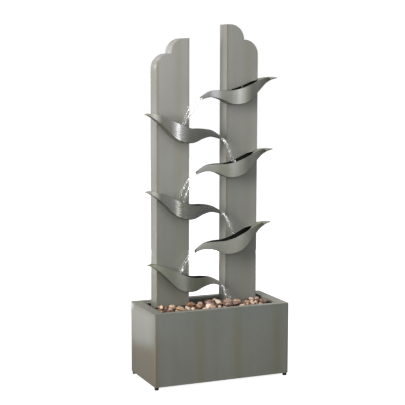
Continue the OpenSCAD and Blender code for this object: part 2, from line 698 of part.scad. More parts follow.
// Strainer that clips over the intake and slides off for cleaning
mesh_pitch = 7;
mesh_w = 2.4;
mesh_l = 30;
module intake_grille() color([0.14, 0.14, 0.15]) translate([cover_x - loose, pump_y, axis_z])
    difference() {
        translate([-grille_l, 0, 0]) rotate([0, 90, 0])
            linear_extrude(grille_l) rounded_rect(pump_h, pump_w, 4);
        translate([-grille_l + grille_wall, 0, 0]) rotate([0, 90, 0])
            linear_extrude(grille_l) rounded_rect(pump_h - 2 * grille_wall,
                                                  pump_w - 2 * grille_wall, 2.5);
        for (i = [-2:2]) if (i != 0)
            translate([-grille_l - 1, i * mesh_pitch - mesh_w / 2, -mesh_l / 2])
                cube([grille_wall + 2, mesh_w, mesh_l]);
        translate([-grille_l - 1, 0, 0]) x_rod(dial_stem_d + 2 * running, grille_wall + 2);
    }

// Dial that closes the intake, turning in the strainer's front
dial_d = 10;
dial_stem_d = 5;
module flow_dial() color([0.55, 0.1, 0.1])
    translate([cover_x - loose - grille_l, pump_y, axis_z]) difference() {
        union() {
            translate([-4 - loose, 0, 0]) x_rod(dial_d, 4);
            translate([-1, 0, 0]) x_rod(dial_stem_d, grille_wall + 5);
            translate([grille_wall + loose, 0, 0]) x_rod(dial_d, 2);
        }
        translate([-5, -0.8, -6]) cube([2.5, 1.6, 12]);
    }

// ---------------------------------------------------------------- hose

hose_entry_z = foot_h + hose_entry_rise;
elbow_y = tower_y + tower_d / 2;               // upright run inside the tower
spigot_d = 13;
spigot_nut_h = 5;
entry_groove_d = hose_d + 5;
seat_z = axis_z + pump_h / 2 + 3;              // lower end of the pump's hose

// Tube round a quarter bend, from +Z at the start towards +Y at the end
module quarter(r, d) translate([0, r, 0]) rotate([0, 0, 90]) rotate([90, 0, 0])
    rotate([0, 0, 90]) rotate_extrude(angle = 90) translate([r, 0]) circle(d = d);

module pump_hose_run(d, extra) translate([hose_x, pump_y, 0]) {
    rise = hose_entry_z - hose_bend_r - seat_z;
    run = elbow_y - 8 - (pump_y + hose_bend_r);
    translate([0, 0, seat_z - extra]) cylinder(h = rise + extra, d = d);
    translate([0, 0, seat_z + rise]) quarter(hose_bend_r, d);
    translate([0, hose_bend_r, hose_entry_z]) y_rod(d, run + extra);
}
module pump_hose() color([0.16, 0.17, 0.17]) difference() {
    pump_hose_run(hose_d, 0);
    pump_hose_run(hose_bore, 1);
}

// Rubber ring where the hose enters the right tower
module tower_grommet() color([0.07, 0.07, 0.07])
    translate([hose_x, tower_y, hose_entry_z]) difference() {
        union() {
            translate([0, -1.8, 0]) y_rod(entry_groove_d + 4, 1.8);
            translate([0, -1, 0]) y_rod(entry_groove_d - 0.1, tower_t + 2);
            translate([0, tower_t, 0]) y_rod(entry_groove_d + 4, 1.8);
        }
        translate([0, -5, 0]) y_rod(hose_d + 2 * bolt_gap, 20);
    }

// Elbow body with one barb down or up and one port to the front, from its corner
elbow_d = 15;
module elbow_block(front_d, front_l, barb_dir) {
    rotate([90, 0, 0]) cylinder(h = 8, d = elbow_d);
    sphere(d = elbow_d);
    rotate([90, 0, 0]) cylinder(h = 8 + front_l, d = front_d);
    rotate([barb_dir > 0 ? 0 : 180, 0, 0]) {
        cylinder(h = 9, d = elbow_d);
        cylinder(h = 9 + barb_l, d = barb_d);
    }
}
module elbow_bore(front_l, barb_dir) {
    rotate([90, 0, 0]) cylinder(h = 20 + front_l, d = barb_bore);
    sphere(d = barb_bore);
    rotate([barb_dir > 0 ? 0 : 180, 0, 0]) cylinder(h = 12 + barb_l, d = barb_bore);
}

module lower_elbow() color([0.2, 0.2, 0.21])
    translate([hose_x, elbow_y, hose_entry_z]) difference() {
        elbow_block(barb_d, barb_l - 4, 1);
        elbow_bore(barb_l, 1);
    }

riser_low = hose_entry_z + 9;
riser_top = outlet_z - 9;
module riser_hose() color([0.16, 0.17, 0.17])
    translate([hose_x, elbow_y, riser_low]) difference() {
        cylinder(h = riser_top - riser_low, d = hose_d);
        translate([0, 0, -1]) cylinder(h = riser_top - riser_low + 2, d = hose_bore);
    }

spout_reach = 12;                              // of the outlet in front of the tower
module outlet_elbow() color([0.2, 0.2, 0.21])
    translate([hose_x, elbow_y, outlet_z]) difference() {
        union() {
            elbow_block(spigot_d, tower_d / 2 - 8 + spout_reach, -1);
            translate([0, -tower_d / 2 + tower_t, 0]) y_rod(20, 4);
        }
        elbow_bore(tower_d / 2 + spout_reach, -1);
    }

// Nut in the top leaf's notch that clamps the outlet to the tower's face
module outlet_nut() color([0.24, 0.24, 0.25])
    translate([hose_x, tower_y, outlet_z]) rotate([90, 0, 0])
        hex_nut(spigot_nut_across, spigot_nut_h, spigot_d + 2 * bolt_gap);

// Wire band clamps on the hose's four ends
clamp_w = 6;
module clamp_ring() difference() {
    union() {
        cylinder(h = clamp_w, d = hose_d + 2.4);
        translate([hose_d / 2, -2, 0]) cube([5, 4, clamp_w]);
    }
    translate([0, 0, -1]) cylinder(h = clamp_w + 2, d = hose_d + 2 * bolt_gap);
}
module hose_clamps() color([0.75, 0.75, 0.77]) {
    translate([hose_x, pump_y, seat_z + 4]) clamp_ring();
    translate([hose_x, elbow_y - 12, hose_entry_z]) rotate([90, 0, 0]) clamp_ring();
    translate([hose_x, elbow_y, riser_low + 4]) clamp_ring();
    translate([hose_x, elbow_y, riser_top - 4 - clamp_w]) clamp_ring();
}

// Clips that hold the riser to the inside of the tower's face
clip_levels = [240, 480, 700];                 // above the inside bottom
clip_h = 12;
module hose_clips() color([0.22, 0.22, 0.23]) for (z = clip_levels)
    translate([hose_x, elbow_y, floor_z + z]) difference() {
        union() {
            cylinder(h = clip_h, d = hose_d + 4);
            translate([-3, -tower_d / 2 + tower_t, 0])
                cube([6, tower_d / 2 - tower_t - hose_d / 2, clip_h]);
            translate([-12, -tower_d / 2 + tower_t, 0]) cube([24, 2, clip_h]);
        }
        translate([0, 0, -1]) cylinder(h = clip_h + 2, d = hose_d + 2 * bolt_gap);
    }

tub_shell();
tub_base();
tub_rim();
rubber_feet();
foot_screws();
foot_nuts();
cord_grommet();
left_tower_shell();
right_tower_shell();
left_back_panel();
right_back_panel();
left_panel_screws();
right_panel_screws();
tower_brackets();
bracket_bolts();
bracket_nuts();
bracket_side_screws();
right_leaf_1();
left_leaf_1();
right_leaf_2();
left_leaf_2();
right_leaf_3();
left_leaf_3();
left_leaf_studs();
right_leaf_studs();
left_leaf_nuts();
right_leaf_nuts();
tray_trestles();
pebble_tray();
cream_pebbles();
rose_pebbles();
brown_pebbles();
suction_cups();
pump_housing();
pump_gland();
rotor_shaft();
impeller();
volute_cover();
intake_grille();
flow_dial();
pump_hose();
tower_grommet();
lower_elbow();
riser_hose();
outlet_elbow();
outlet_nut();
hose_clamps();
hose_clips();
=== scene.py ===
import json
import math
import random

import bmesh
import bpy
from mathutils import Matrix, Vector, noise

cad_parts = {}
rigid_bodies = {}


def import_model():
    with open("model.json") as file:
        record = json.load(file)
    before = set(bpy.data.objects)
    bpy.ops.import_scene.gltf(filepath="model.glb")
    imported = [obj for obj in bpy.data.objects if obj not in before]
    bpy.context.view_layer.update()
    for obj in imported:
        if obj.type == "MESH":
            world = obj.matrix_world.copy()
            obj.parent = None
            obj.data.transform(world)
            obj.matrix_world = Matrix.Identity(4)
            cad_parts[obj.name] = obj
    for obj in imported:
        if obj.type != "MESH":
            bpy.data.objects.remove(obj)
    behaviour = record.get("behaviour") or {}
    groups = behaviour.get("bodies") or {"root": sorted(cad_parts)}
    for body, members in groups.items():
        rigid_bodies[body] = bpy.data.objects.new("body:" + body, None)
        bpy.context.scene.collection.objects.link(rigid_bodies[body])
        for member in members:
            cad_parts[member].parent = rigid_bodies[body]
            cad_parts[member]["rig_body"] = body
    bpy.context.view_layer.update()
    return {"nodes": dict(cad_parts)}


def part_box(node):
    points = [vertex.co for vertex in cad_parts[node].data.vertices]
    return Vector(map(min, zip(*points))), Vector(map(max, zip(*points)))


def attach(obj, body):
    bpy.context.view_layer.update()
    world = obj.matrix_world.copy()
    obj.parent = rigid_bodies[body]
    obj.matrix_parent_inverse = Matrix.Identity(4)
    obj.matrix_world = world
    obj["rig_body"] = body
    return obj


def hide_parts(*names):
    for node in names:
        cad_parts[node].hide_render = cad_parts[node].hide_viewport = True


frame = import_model()

# ---- Camera: a long lens at chest height, in front of the fountain and to
# ---- its left, looking a little down.
bpy.context.scene.view_settings.view_transform = "Standard"
camera_place = (-1.53635, -3.50506, 1.08674)
camera_turn, camera_tilt, camera_roll = -23.269, 6.943, 0.190
camera_data = bpy.data.cameras.new("camera")
camera_data.lens = 97.3
camera_data.sensor_width = 36.0
camera = bpy.data.objects.new("camera", camera_data)
camera.matrix_world = (Matrix.Translation(camera_place)
                       @ Matrix.Rotation(math.radians(camera_turn), 4, "Z")
                       @ Matrix.Rotation(math.radians(90 - camera_tilt), 4, "X")
                       @ Matrix.Rotation(math.radians(camera_roll), 4, "Z"))
bpy.context.scene.collection.objects.link(camera)
bpy.context.scene.camera = camera


class Wire:
    """A socket of a shader tree. Sums on wires add Math nodes, and node() adds any other."""

    def __init__(self, tree, socket=None):
        self.tree = tree
        self.socket = socket

    def node(self, kind, settings=None, sockets=None, out=0):
        made = self.tree.nodes.new("ShaderNode" + kind)
        for name, value in (settings or {}).items():
            if name == "stops":
                ramp = made.color_ramp
                while len(ramp.elements) < len(value):
                    ramp.elements.new(1.0)
                for element, (place, colour) in zip(ramp.elements, value):
                    element.position = place
                    element.color = colour
            else:
                setattr(made, name, value)
        for name, value in (sockets or {}).items():
            if isinstance(value, Wire):
                self.tree.links.new(value.socket, made.inputs[name])
            else:
                made.inputs[name].default_value = value
        return Wire(self.tree, made.outputs[out] if len(made.outputs) else None)

    def other(self, out):
        """Another output of the node that this wire comes from."""
        return Wire(self.tree, self.socket.node.outputs[out])

    def math(self, operation, *values):
        return self.node("Math", {"operation": operation}, dict(enumerate(values)))

    def __add__(self, other):
        return self.math("ADD", self, other)

    def __radd__(self, other):
        return self.math("ADD", other, self)

    def __sub__(self, other):
        return self.math("SUBTRACT", self, other)

    def __rsub__(self, other):
        return self.math("SUBTRACT", other, self)

    def __mul__(self, other):
        return self.math("MULTIPLY", self, other)

    def __rmul__(self, other):
        return self.math("MULTIPLY", other, self)

    def __abs__(self):
        return self.math("ABSOLUTE", self)


def rising(value, low, high):
    """0 below low and 1 above high, with a soft step between them."""
    return value.node("MapRange", {"interpolation_type": "SMOOTHSTEP"},
                      {"Value": value, "From Min": low, "From Max": high})


def mixed(share, first, second):
    """A colour between two, by a share from 0 to 1."""
    return share.node("Mix", {"data_type": "RGBA"}, {0: share, 6: first, 7: second}, 2)


# ---- Studio: a white sweep that throws no light back and a pale sky with a
# ---- glow from the right. Softboxes stand at the left, over the top leaf and
# ---- behind, and a tall strip stands at the right.
world = bpy.data.worlds.new("studio")
world.use_nodes = True
world.node_tree.nodes.clear()
sky = Wire(world.node_tree)
east = sky.node("SeparateXYZ", {}, {0: sky.node("TexCoord", {}, {}, "Generated")})
up = east.other("Z")
right_glow = rising(east, -0.1, 0.95) * rising(up, 0.1, 0.5)
low_light, sky_light, glow_light = 0.08, 0.16, 1.5
dim = sky.node("Background", {}, {
    "Color": (1, 1, 1, 1),
    "Strength": low_light + sky_light * rising(up, -0.15, 0.15) + glow_light * right_glow})
white = sky.node("Background", {}, {"Color": (1, 1, 1, 1), "Strength": 1.0})
seen = sky.node("LightPath", {}, {}, "Is Camera Ray")
unlit = sky.math("MAXIMUM", seen, seen.other("Is Transmission Ray"))
sky.node("OutputWorld", {}, {0: sky.node("MixShader", {}, {0: unlit, 1: dim, 2: white})})
bpy.context.scene.world = world


def softbox(name, place, target, size, power, colour):
    light = bpy.data.lights.new(name, "AREA")
    light.shape = "RECTANGLE"
    light.size, light.size_y = size
    light.energy = power
    light.color = colour
    lamp = bpy.data.objects.new(name, light)
    lamp.location = place
    lamp.rotation_euler = (Vector(target) - Vector(place)).to_track_quat("-Z", "Y").to_euler()
    lamp.visible_camera = False
    bpy.context.scene.collection.objects.link(lamp)
    return lamp


warm_white, cool_white = (1.0, 0.99, 0.98), (0.97, 0.96, 1.0)
centre = (0.0, 0.0, 0.8)
softbox("key", (-1.88, -0.68, 1.2), centre, (0.95, 0.95), 70, warm_white)
softbox("side", (-2.0, 0.0, 1.2), centre, (0.5, 0.5), 7, warm_white)
softbox("back", (-1.05, 1.55, 0.12), (-0.25, 0.0, 0.2), (0.7, 0.22), 2.6, warm_white)
near = softbox("near", (-0.75, -0.75, 1.55), (-0.13, 0.0, 1.1), (0.4, 0.4), 7, warm_white)
near.visible_glossy = False
behind = softbox("behind", (0.9, 2.6, 0.35), (0.0, 0.0, 0.6), (1.2, 0.7), 36, warm_white)
behind.visible_glossy = False
softbox("strip", (0.84, -2.7, 0.9), centre, (0.14, 2.4), 8, cool_white)

floor_sheet = bmesh.new()
bmesh.ops.create_grid(floor_sheet, x_segments=1, y_segments=1, size=9.0)
floor_mesh = bpy.data.meshes.new("sweep")
floor_sheet.to_mesh(floor_mesh)
floor_sheet.free()
floor = bpy.data.objects.new("sweep", floor_mesh)
floor.visible_diffuse = False
floor.visible_glossy = False
bpy.context.scene.collection.objects.link(floor)


def finish(name):
    """A new material with its shader: returns both, and a wire to build from."""
    made = bpy.data.materials.new(name)
    made.use_nodes = True
    tree = made.node_tree
    shader = tree.nodes["Principled BSDF"]
    return made, shader, Wire(tree)


def feed(shader, **values):
    """Sets a shader's sockets, by a value or a wire; _ in a name stands for a space."""
    for name, value in values.items():
        socket = shader.inputs[name.replace("_", " ")]
        if isinstance(value, Wire):
            value.tree.links.new(value.socket, socket)
        else:
            socket.default_value = value


white_floor, shader, wire = finish("sweep_white")
feed(shader, Base_Color=(0.4, 0.4, 0.4, 1), Roughness=0.9, Specular_IOR_Level=0.0,
     Emission_Color=(1, 1, 1, 1), Emission_Strength=0.93)
floor_mesh.materials.append(white_floor)

# ---- Tub: four walls of folded sheet, a bottom plate welded inside them and a
# ---- mitred frame on top with a lip turned down inside. Pewter-coloured paint
# ---- with a worn patina in faint upright bands.


def clouds(spot, scale, detail=2.0, stretch=(1, 1, 1)):
    """Noise over the object's own place, stretched by three factors."""
    placed = spot.node("Mapping", {}, {"Vector": spot, "Scale": stretch})
    return placed.node("TexNoise", {}, {"Vector": placed, "Scale": scale, "Detail": detail,
                                        "Roughness": 0.55}, 0)


def object_spot(wire):
    """The object's own coordinates."""
    return wire.node("TexCoord", {}, {}, "Object")


def relief(height, strength, distance):
    """A bump made from a height."""
    return height.node("Bump", {}, {"Strength": strength, "Distance": distance,
                                    "Height": height})


def patina(name, tone, tints):
    """Pewter paint on sheet steel. Tints are (mask, colour) pairs laid over the mottled tone,
    each made by a function of the coordinates."""
    made, shader, wire = finish(name)
    spot = object_spot(wire)
    x = wire.node("SeparateXYZ", {}, {0: spot})
    broad = clouds(spot, 5.0, 3.0, (1.0, 1.0, 0.55))
    streaks = clouds(spot, 26.0, 2.0, (1.0, 1.0, 0.07))
    mottle = clouds(spot, 120.0, 3.0, (1.0, 1.0, 0.7))
    level = 0.74 + 0.30 * broad + 0.12 * streaks + 0.10 * mottle
    dark = tuple(0.80 * c for c in tone) + (1,)
    light = tuple(1.18 * c for c in tone) + (1,)
    colour = mixed(rising(level, 0.80, 1.20), dark, light)
    for mask, tint in tints(spot, x, x.other("Y"), x.other("Z")):
        colour = mixed(mask, colour, tint)
    feed(shader, Base_Color=colour, Roughness=0.46 + 0.12 * (broad - 0.5) + 0.06 * mottle,
         Metallic=0.45, Specular_IOR_Level=0.45,
         Normal=relief(mottle + 0.5 * streaks, 0.10, 0.0006))
    return made


def placed_piece(name, mesh, node):
    """An object for a mesh that stands for a CAD node and rides on its body."""
    for face in mesh.polygons:
        face.use_smooth = True
    mesh.set_sharp_from_angle(angle=math.radians(38))
    piece = bpy.data.objects.new(name, mesh)
    bpy.context.scene.collection.objects.link(piece)
    even = piece.modifiers.new("even_normals", "WEIGHTED_NORMAL")
    even.keep_sharp = True
    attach(piece, frame["nodes"][node]["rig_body"])
    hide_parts(node)
    return piece


def softened(node, width, segments, chosen):
    """A merged copy of a CAD node whose chosen sharp edges are rounded, in the node's place."""
    bm = bmesh.new()
    bm.from_mesh(frame["nodes"][node].data)
    bmesh.ops.remove_doubles(bm, verts=bm.verts, dist=1e-5)
    bmesh.ops.dissolve_limit(bm, angle_limit=math.radians(0.2), verts=bm.verts, edges=bm.edges)
    edges = [e for e in bm.edges if len(e.link_faces) == 2
             and e.calc_face_angle() > math.radians(40) and chosen(e)]
    bmesh.ops.bevel(bm, geom=edges, offset=width, segments=segments, profile=0.5,
                    affect="EDGES", material=-1, clamp_overlap=False)
    mesh = bpy.data.meshes.new(node + "_dressed")
    bm.to_mesh(mesh)
    bm.free()
    return placed_piece(node + "_dressed", mesh, node)


tub_low, tub_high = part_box("tub_shell")


def tub_tints(spot, x, y, z):
    """Tints for the tub: olive bands and a green cast on its faces, brown stain low on its ends
    that also works as painted shade, a painted reflection of a softbox high on its ends, rusty
    worn edges, a dark corner of the rim and painted light on the wall behind it."""
    rows = clouds(spot, 9.0, 2.0, (1.0, 1.0, 0.3))
    bands = 0
    band_middles = (-0.087, 0.058, 0.211)
    for middle in band_middles:
        bands = bands + (1 - rising(abs(x - middle + 0.03 * (rows - 0.5)), 0.0, 0.032))
    faced = rising(abs(y), 0.112, 0.119)
    ends = rising(abs(x), 0.247, 0.252)
    from_left, from_front = x - tub_low.x, y - tub_low.y
    edge = (1 - rising(from_left, 0.004, 0.024)) * faced * rising(rows, 0.30, 0.55)
    end_edge = (1 - rising(from_front, 0.003, 0.018)) * ends * rising(rows, 0.30, 0.55)
    # painted reflection: a pale patch high on each end stands in for a softbox seen in it
    painted_reflection = (ends * rising(z + 0.05 * rows + 0.14 * y, 0.145, 0.195)
             * (1 - rising(abs(y - 0.01), 0.07, 0.13)) * (1 - rising(z, 0.235, 0.258)))
    corner = rising(z, 0.2575, 0.2615) * (1 - rising(from_left, 0.03, 0.09))
    # painted light: the inside of the back wall is made paler where the lamps hardly reach it
    behind = (rising(y, 0.09, 0.10) * (1 - rising(y, 0.1190, 0.1200)) * rising(z, 0.232, 0.250)
              * (1 - rising(z, 0.2605, 0.262)))
    from_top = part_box("tub_rim")[1].z - z
    worn = (1 - rising(from_top, 0.001, 0.012)) * rising(clouds(spot, 60.0), 0.45, 0.62)
    return [(bands * faced * 0.50, (0.235, 0.235, 0.150, 1)),
            # brown stain low on the ends, made darker than the stain alone as painted shade
            # towards the foot
            (ends * (1 - rising(z + 0.14 * y, 0.098, 0.160)) * 0.82, (0.195, 0.170, 0.132, 1)),
            (corner * 0.42, (0.150, 0.152, 0.130, 1)),
            (behind * 0.75, (0.62, 0.64, 0.60, 1)),
            (painted_reflection * 0.30, (0.47, 0.46, 0.45, 1)),
            (edge * 0.6, (0.25, 0.21, 0.145, 1)),
            (end_edge * 0.5, (0.26, 0.215, 0.15, 1)),
            (rising(z, 0.15, 0.262) * faced * 0.35, (0.25, 0.295, 0.265, 1)),
            (worn * 0.22, (0.30, 0.22, 0.16, 1))]


def outer_fold(edge):
    """Whether a tub edge is on its outside and not round a hole."""
    return all(abs(abs(v.co.x) - tub_high.x) < 0.004 or abs(abs(v.co.y) - tub_high.y) < 0.0035
               for v in edge.verts) and edge.calc_length() > 0.02


def coat_piece(piece, material):
    """Gives a piece one material."""
    piece.data.materials.clear()
    piece.data.materials.append(material)


pewter_tub = patina("pewter_tub", (0.279, 0.284, 0.250), tub_tints)
for node, width in (("tub_shell", 0.0008), ("tub_rim", 0.0014), ("tub_base", 0.0005)):
    coat_piece(softened(node, width, 3, outer_fold), pewter_tub)

# ---- Feet and fastenings: turned rubber feet on screws through the bottom, a
# ---- rubber ring in the back wall where the pump's lead would pass, and the
# ---- zinc screws, studs, bolts and nuts of the whole fountain.


def rubber(name, tone):
    """Moulded rubber with dust in its pores."""
    made, shader, wire = finish(name)
    spot = object_spot(wire)
    grain = clouds(spot, 420.0, 2.0)
    dust = rising(clouds(spot, 60.0, 3.0), 0.5, 0.75)
    feed(shader, Base_Color=mixed(dust * 0.5, (*tone, 1), (*(c * 1.9 + 0.01 for c in tone), 1)),
         Roughness=0.62 + 0.2 * grain,
         Normal=relief(grain, 0.25, 0.0003))
    return made


def metal(name, tone, shine):
    """Bare or plated metal with fine marks and stains."""
    made, shader, wire = finish(name)
    spot = object_spot(wire)
    marks = clouds(spot, 300.0)
    stain = clouds(spot, 45.0, 3.0)
    feed(shader, Base_Color=mixed(stain, (*(c * 0.8 for c in tone), 1), (*tone, 1)), Metallic=0.95,
         Roughness=shine + 0.14 * marks + 0.10 * stain,
         Normal=relief(marks, 0.12, 0.0002))
    return made


def dress(material, *nodes):
    """Gives a material to CAD nodes that are shown as they are."""
    for node in nodes:
        mesh = frame["nodes"][node].data
        mesh.materials.clear()
        mesh.materials.append(material)


black_rubber = rubber("black_rubber", (0.018, 0.018, 0.019))
zinc = metal("zinc_steel", (0.62, 0.63, 0.64), 0.28)
dress(black_rubber, "rubber_feet", "cord_grommet", "tower_grommet", "suction_cups")
dress(zinc, "foot_screws", "foot_nuts", "bracket_bolts", "bracket_nuts",
      "bracket_side_screws", "left_leaf_studs", "right_leaf_studs", "left_leaf_nuts",
      "right_leaf_nuts", "left_panel_screws", "right_panel_screws")

# ---- Towers: each a front of sheet steel with its sides and its two stepped
# ---- round tops folded or welded round it, closed by a screwed back panel.

left_low, left_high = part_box("left_tower_shell")
right_low, right_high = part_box("right_tower_shell")


def tower_tints(low, high, shade):
    """Tints for a tower: painted light high up and on its sides, olive down its folds, pale weld
    marks on its round tops, and on the right one painted light on a strip under the leaves'
    outer ends that offsets their shadows. Shade is how much painted shade darkens it towards its
    foot, and it also sets how strong the painted light high up is."""
    def tints(spot, x, y, z):
        rows = clouds(spot, 7.0, 2.0, (1.0, 1.0, 0.25))
        fold = (1 - rising(x - low.x, 0.003, 0.014)) * rising(rows, 0.25, 0.55)
        far_fold = (1 - rising(high.x - x, 0.002, 0.010)) * rising(rows, 0.35, 0.6)
        middle = (low.x + high.x) / 2
        band = 1 - rising(abs(x - middle - 0.022 + 0.03 * (rows - 0.5)), 0.004, 0.026)
        inner_x = high.x if high.x < 0 else low.x
        rounds = (rising(z, high.z - 0.115, high.z - 0.095) * rising(y - low.y, 0.002, 0.006)
                  * rising(abs(x - inner_x), 0.003, 0.006))
        waves = rising(clouds(spot, 34.0, 3.0, (1.0, 0.35, 1.0)), 0.47, 0.60)
        # painted light: the towers' sides are made paler and bluer, most of all high up
        painted_light_flank = rising(y - low.y, 0.003, 0.008)
        painted_light_under_leaves = []
        # painted light: on the right tower, a pale strip offsets the shadows the leaves cast on
        # its outer part
        if low.x > 0:
            strip = rising(x, high.x - 0.075, high.x - 0.010) * (1 - rising(z, 0.95, 1.05))
            painted_light_under_leaves = [(strip * 0.55, (0.370, 0.375, 0.350, 1))]
        # painted light: each tower is made paler high up, as if lit from above
        return [(rising(z, 0.60, 1.15) * (0.20 + 0.45 * shade), (0.365, 0.352, 0.330, 1)),
                (painted_light_flank * 0.22, (0.34, 0.35, 0.40, 1)),
                (painted_light_flank * rising(z, 0.30, 1.10) * 0.42, (0.44, 0.435, 0.43, 1)),
                *painted_light_under_leaves,
                # painted shade: each tower is darker towards its foot, by its shade
                ((1 - rising(z, 0.30, 0.80)) * shade, (0.205, 0.215, 0.180, 1)),
                (band * 0.30, (0.255, 0.258, 0.185, 1)),
                (fold * 0.50, (0.200, 0.190, 0.140, 1)),
                (far_fold * 0.40, (0.215, 0.205, 0.165, 1)),
                (rounds * (0.08 + 0.45 * waves), (0.58, 0.56, 0.54, 1))]
    return tints


shortest_fold = 0.0015


def tower_fold(low):
    """Whether an edge lies on the front of a tower and isn't a facet of a hole."""
    def chosen(edge):
        a, b = (v.co for v in edge.verts)
        on_face = abs(a.y - low.y) < 1e-5 and abs(b.y - low.y) < 1e-5
        return on_face and edge.calc_length() > shortest_fold
    return chosen


# The last number is how much painted shade darkens each tower towards its foot.
for side, low, high, shade in (("left", left_low, left_high, 0.70),
                               ("right", right_low, right_high, 0.20)):
    coat = patina(f"pewter_{side}_tower", (0.285, 0.288, 0.262), tower_tints(low, high, shade))
    coat_piece(softened(f"{side}_tower_shell", 0.0004, 2, tower_fold(low)), coat)
    coat_piece(softened(f"{side}_back_panel", 0.0004, 2,
                        lambda e: e.calc_length() > shortest_fold), coat)
dress(zinc, "tower_brackets")

# ---- Spill leaves: troughs of brushed sheet, folded along the bottom and
# ---- closed at the outer tip, studded to the towers. The brush marks run
# ---- along the leaf, so they follow a map from tip to spout and up the wall.


def brushed_leaf(name, wear, tail, stains):
    """Brushed pewter sheet: wear from 0 to 1 dulls it with lime and verdigris. Tail is how far
    from its tip a painted highlight reaches, paler and less metallic; stains are (place along the
    leaf, reach, strength, colour), dark stains that are partly painted shade, and painted
    highlights."""
    made, shader, wire = finish(name)
    sheet = wire.node("UVMap", {"uv_map": "sheet"})
    spot = object_spot(wire)

    def marks(along, across, detail):
        place = wire.node("Mapping", {}, {"Vector": sheet, "Scale": (along, across, 1.0)})
        return wire.node("TexNoise", {"noise_dimensions": "2D"},
                         {"Vector": place, "Scale": 1.0, "Detail": detail, "Roughness": 0.6}, 0)

    broad_marks, fine_marks = marks(0.8, 40.0, 1.0), marks(1.6, 300.0, 1.0)
    patches = clouds(spot, 12.0, 3.0)
    level = 0.18 * broad_marks + 0.42 * fine_marks + 0.40 * patches
    colour = mixed(rising(level, 0.30, 0.74), (0.42, 0.425, 0.39, 1), (0.58, 0.58, 0.56, 1))
    colour = mixed(rising(patches, 0.46, 0.68) * 0.5, colour, (0.32, 0.325, 0.22, 1))
    colour = mixed(rising(clouds(spot, 20.0, 2.0), 0.45, 0.70) * 0.5 * wear, colour,
                   (0.36, 0.42, 0.38, 1))
    along = wire.node("SeparateXYZ", {}, {0: sheet})
    across = along.other("Y")
    # the outer part is darker olive: partly patina, partly painted shade where it turns from the
    # lights
    colour = mixed((1 - rising(along, 0.10, 0.34)) * 0.55, colour, (0.23, 0.24, 0.15, 1))
    metallic = 0.85 - 0.15 * wear
    if tail:
        # painted highlight: the tip is made paler and less metallic, to catch the key light on its
        # bend
        painted_highlight_tail = 1 - rising(along, 0.6 * tail, tail + 0.02)
        colour = mixed(painted_highlight_tail, colour, (0.40, 0.40, 0.385, 1))
        metallic = metallic - 0.50 * painted_highlight_tail
    # Each stain colours a span along the leaf: dark ones are stains with painted shade, pale ones
    # painted highlights.
    for place, reach, strength, tint in stains:
        stain = (1 - rising(abs(along - place), 0.2 * reach, reach)) * strength
        colour = mixed(stain, colour, (*tint, 1))
    # painted shade: the foot of each wall, along the bottom fold, is made near black
    colour = mixed((1 - rising(across, 0.001, 0.008)) * 0.65, colour, (0.080, 0.080, 0.068, 1))
    # painted shade: the inside of the trough and the spout's mouth are near black, wet and in
    # shade
    wet = wire.node("Attribute", {"attribute_name": "wet"}, {}, "Fac")
    colour = mixed(wet, colour, (0.030, 0.032, 0.028, 1))
    feed(shader, Base_Color=colour, Metallic=metallic,
         Roughness=0.20 + 0.16 * wear + 0.08 * fine_marks + 0.05 * patches,
         Normal=relief(0.4 * broad_marks + fine_marks, 0.04, 0.0003))
    return made


def smooth(low, high, value):
    """0 below low and 1 above high, with a soft step between them, for plain numbers."""
    share = min(max((value - low) / (high - low), 0.0), 1.0)
    return share * share * (3 - 2 * share)


# No two leaves are bent or finished alike: how far the outer tip and the spout are bent up,
# then the wear, how far the tail's painted highlight reaches and the stains of brushed_leaf.
# The dark colour is for stains and painted shade, the pale one for painted highlights.
stain_and_painted_shade, painted_highlight_spot = (0.19, 0.20, 0.14), (0.88, 0.88, 0.90)
leaves = {
    "right_leaf_1": (-0.0072, 0.0028, 0.45, 0.0, [
        (0.10, 0.06, 0.50, stain_and_painted_shade), (0.39, 0.12, 0.55, stain_and_painted_shade), (0.66, 0.09, 0.45, stain_and_painted_shade),
        (0.53, 0.04, 0.18, painted_highlight_spot), (0.815, 0.08, 0.90, painted_highlight_spot),
        (1.0, 0.025, 0.80, stain_and_painted_shade)]),
    "left_leaf_1": (0.0, -0.0015, 0.0, 0.20, [
        (0.03, 0.12, 0.85, stain_and_painted_shade), (0.66, 0.18, 0.30, stain_and_painted_shade), (0.38, 0.07, 0.42, painted_highlight_spot)]),
    "right_leaf_2": (-0.0072, -0.0030, 0.85, 0.0, [
        (0.10, 0.09, 0.60, stain_and_painted_shade), (0.41, 0.18, 0.57, stain_and_painted_shade), (0.66, 0.12, 0.38, stain_and_painted_shade),
        (1.0, 0.025, 0.80, stain_and_painted_shade)]),
    "left_leaf_2": (0.0, 0.0008, 0.0, 0.18, [
        (0.03, 0.10, 0.75, stain_and_painted_shade),
        (0.44, 0.06, 0.62, stain_and_painted_shade), (0.70, 0.12, 0.20, stain_and_painted_shade)]),
    "right_leaf_3": (0.0020, -0.0084, 1.0, 0.0, [
        (0.10, 0.07, 0.30, stain_and_painted_shade), (0.72, 0.18, 0.35, stain_and_painted_shade), (1.0, 0.025, 0.80, stain_and_painted_shade)]),
    "left_leaf_3": (0.0, -0.0033, 1.0, 0.0, [
        (0.04, 0.08, 0.65, stain_and_painted_shade), (0.28, 0.20, 0.60, stain_and_painted_shade), (0.66, 0.22, 0.85, stain_and_painted_shade),
        (0.53, 0.06, 0.30, stain_and_painted_shade)])}
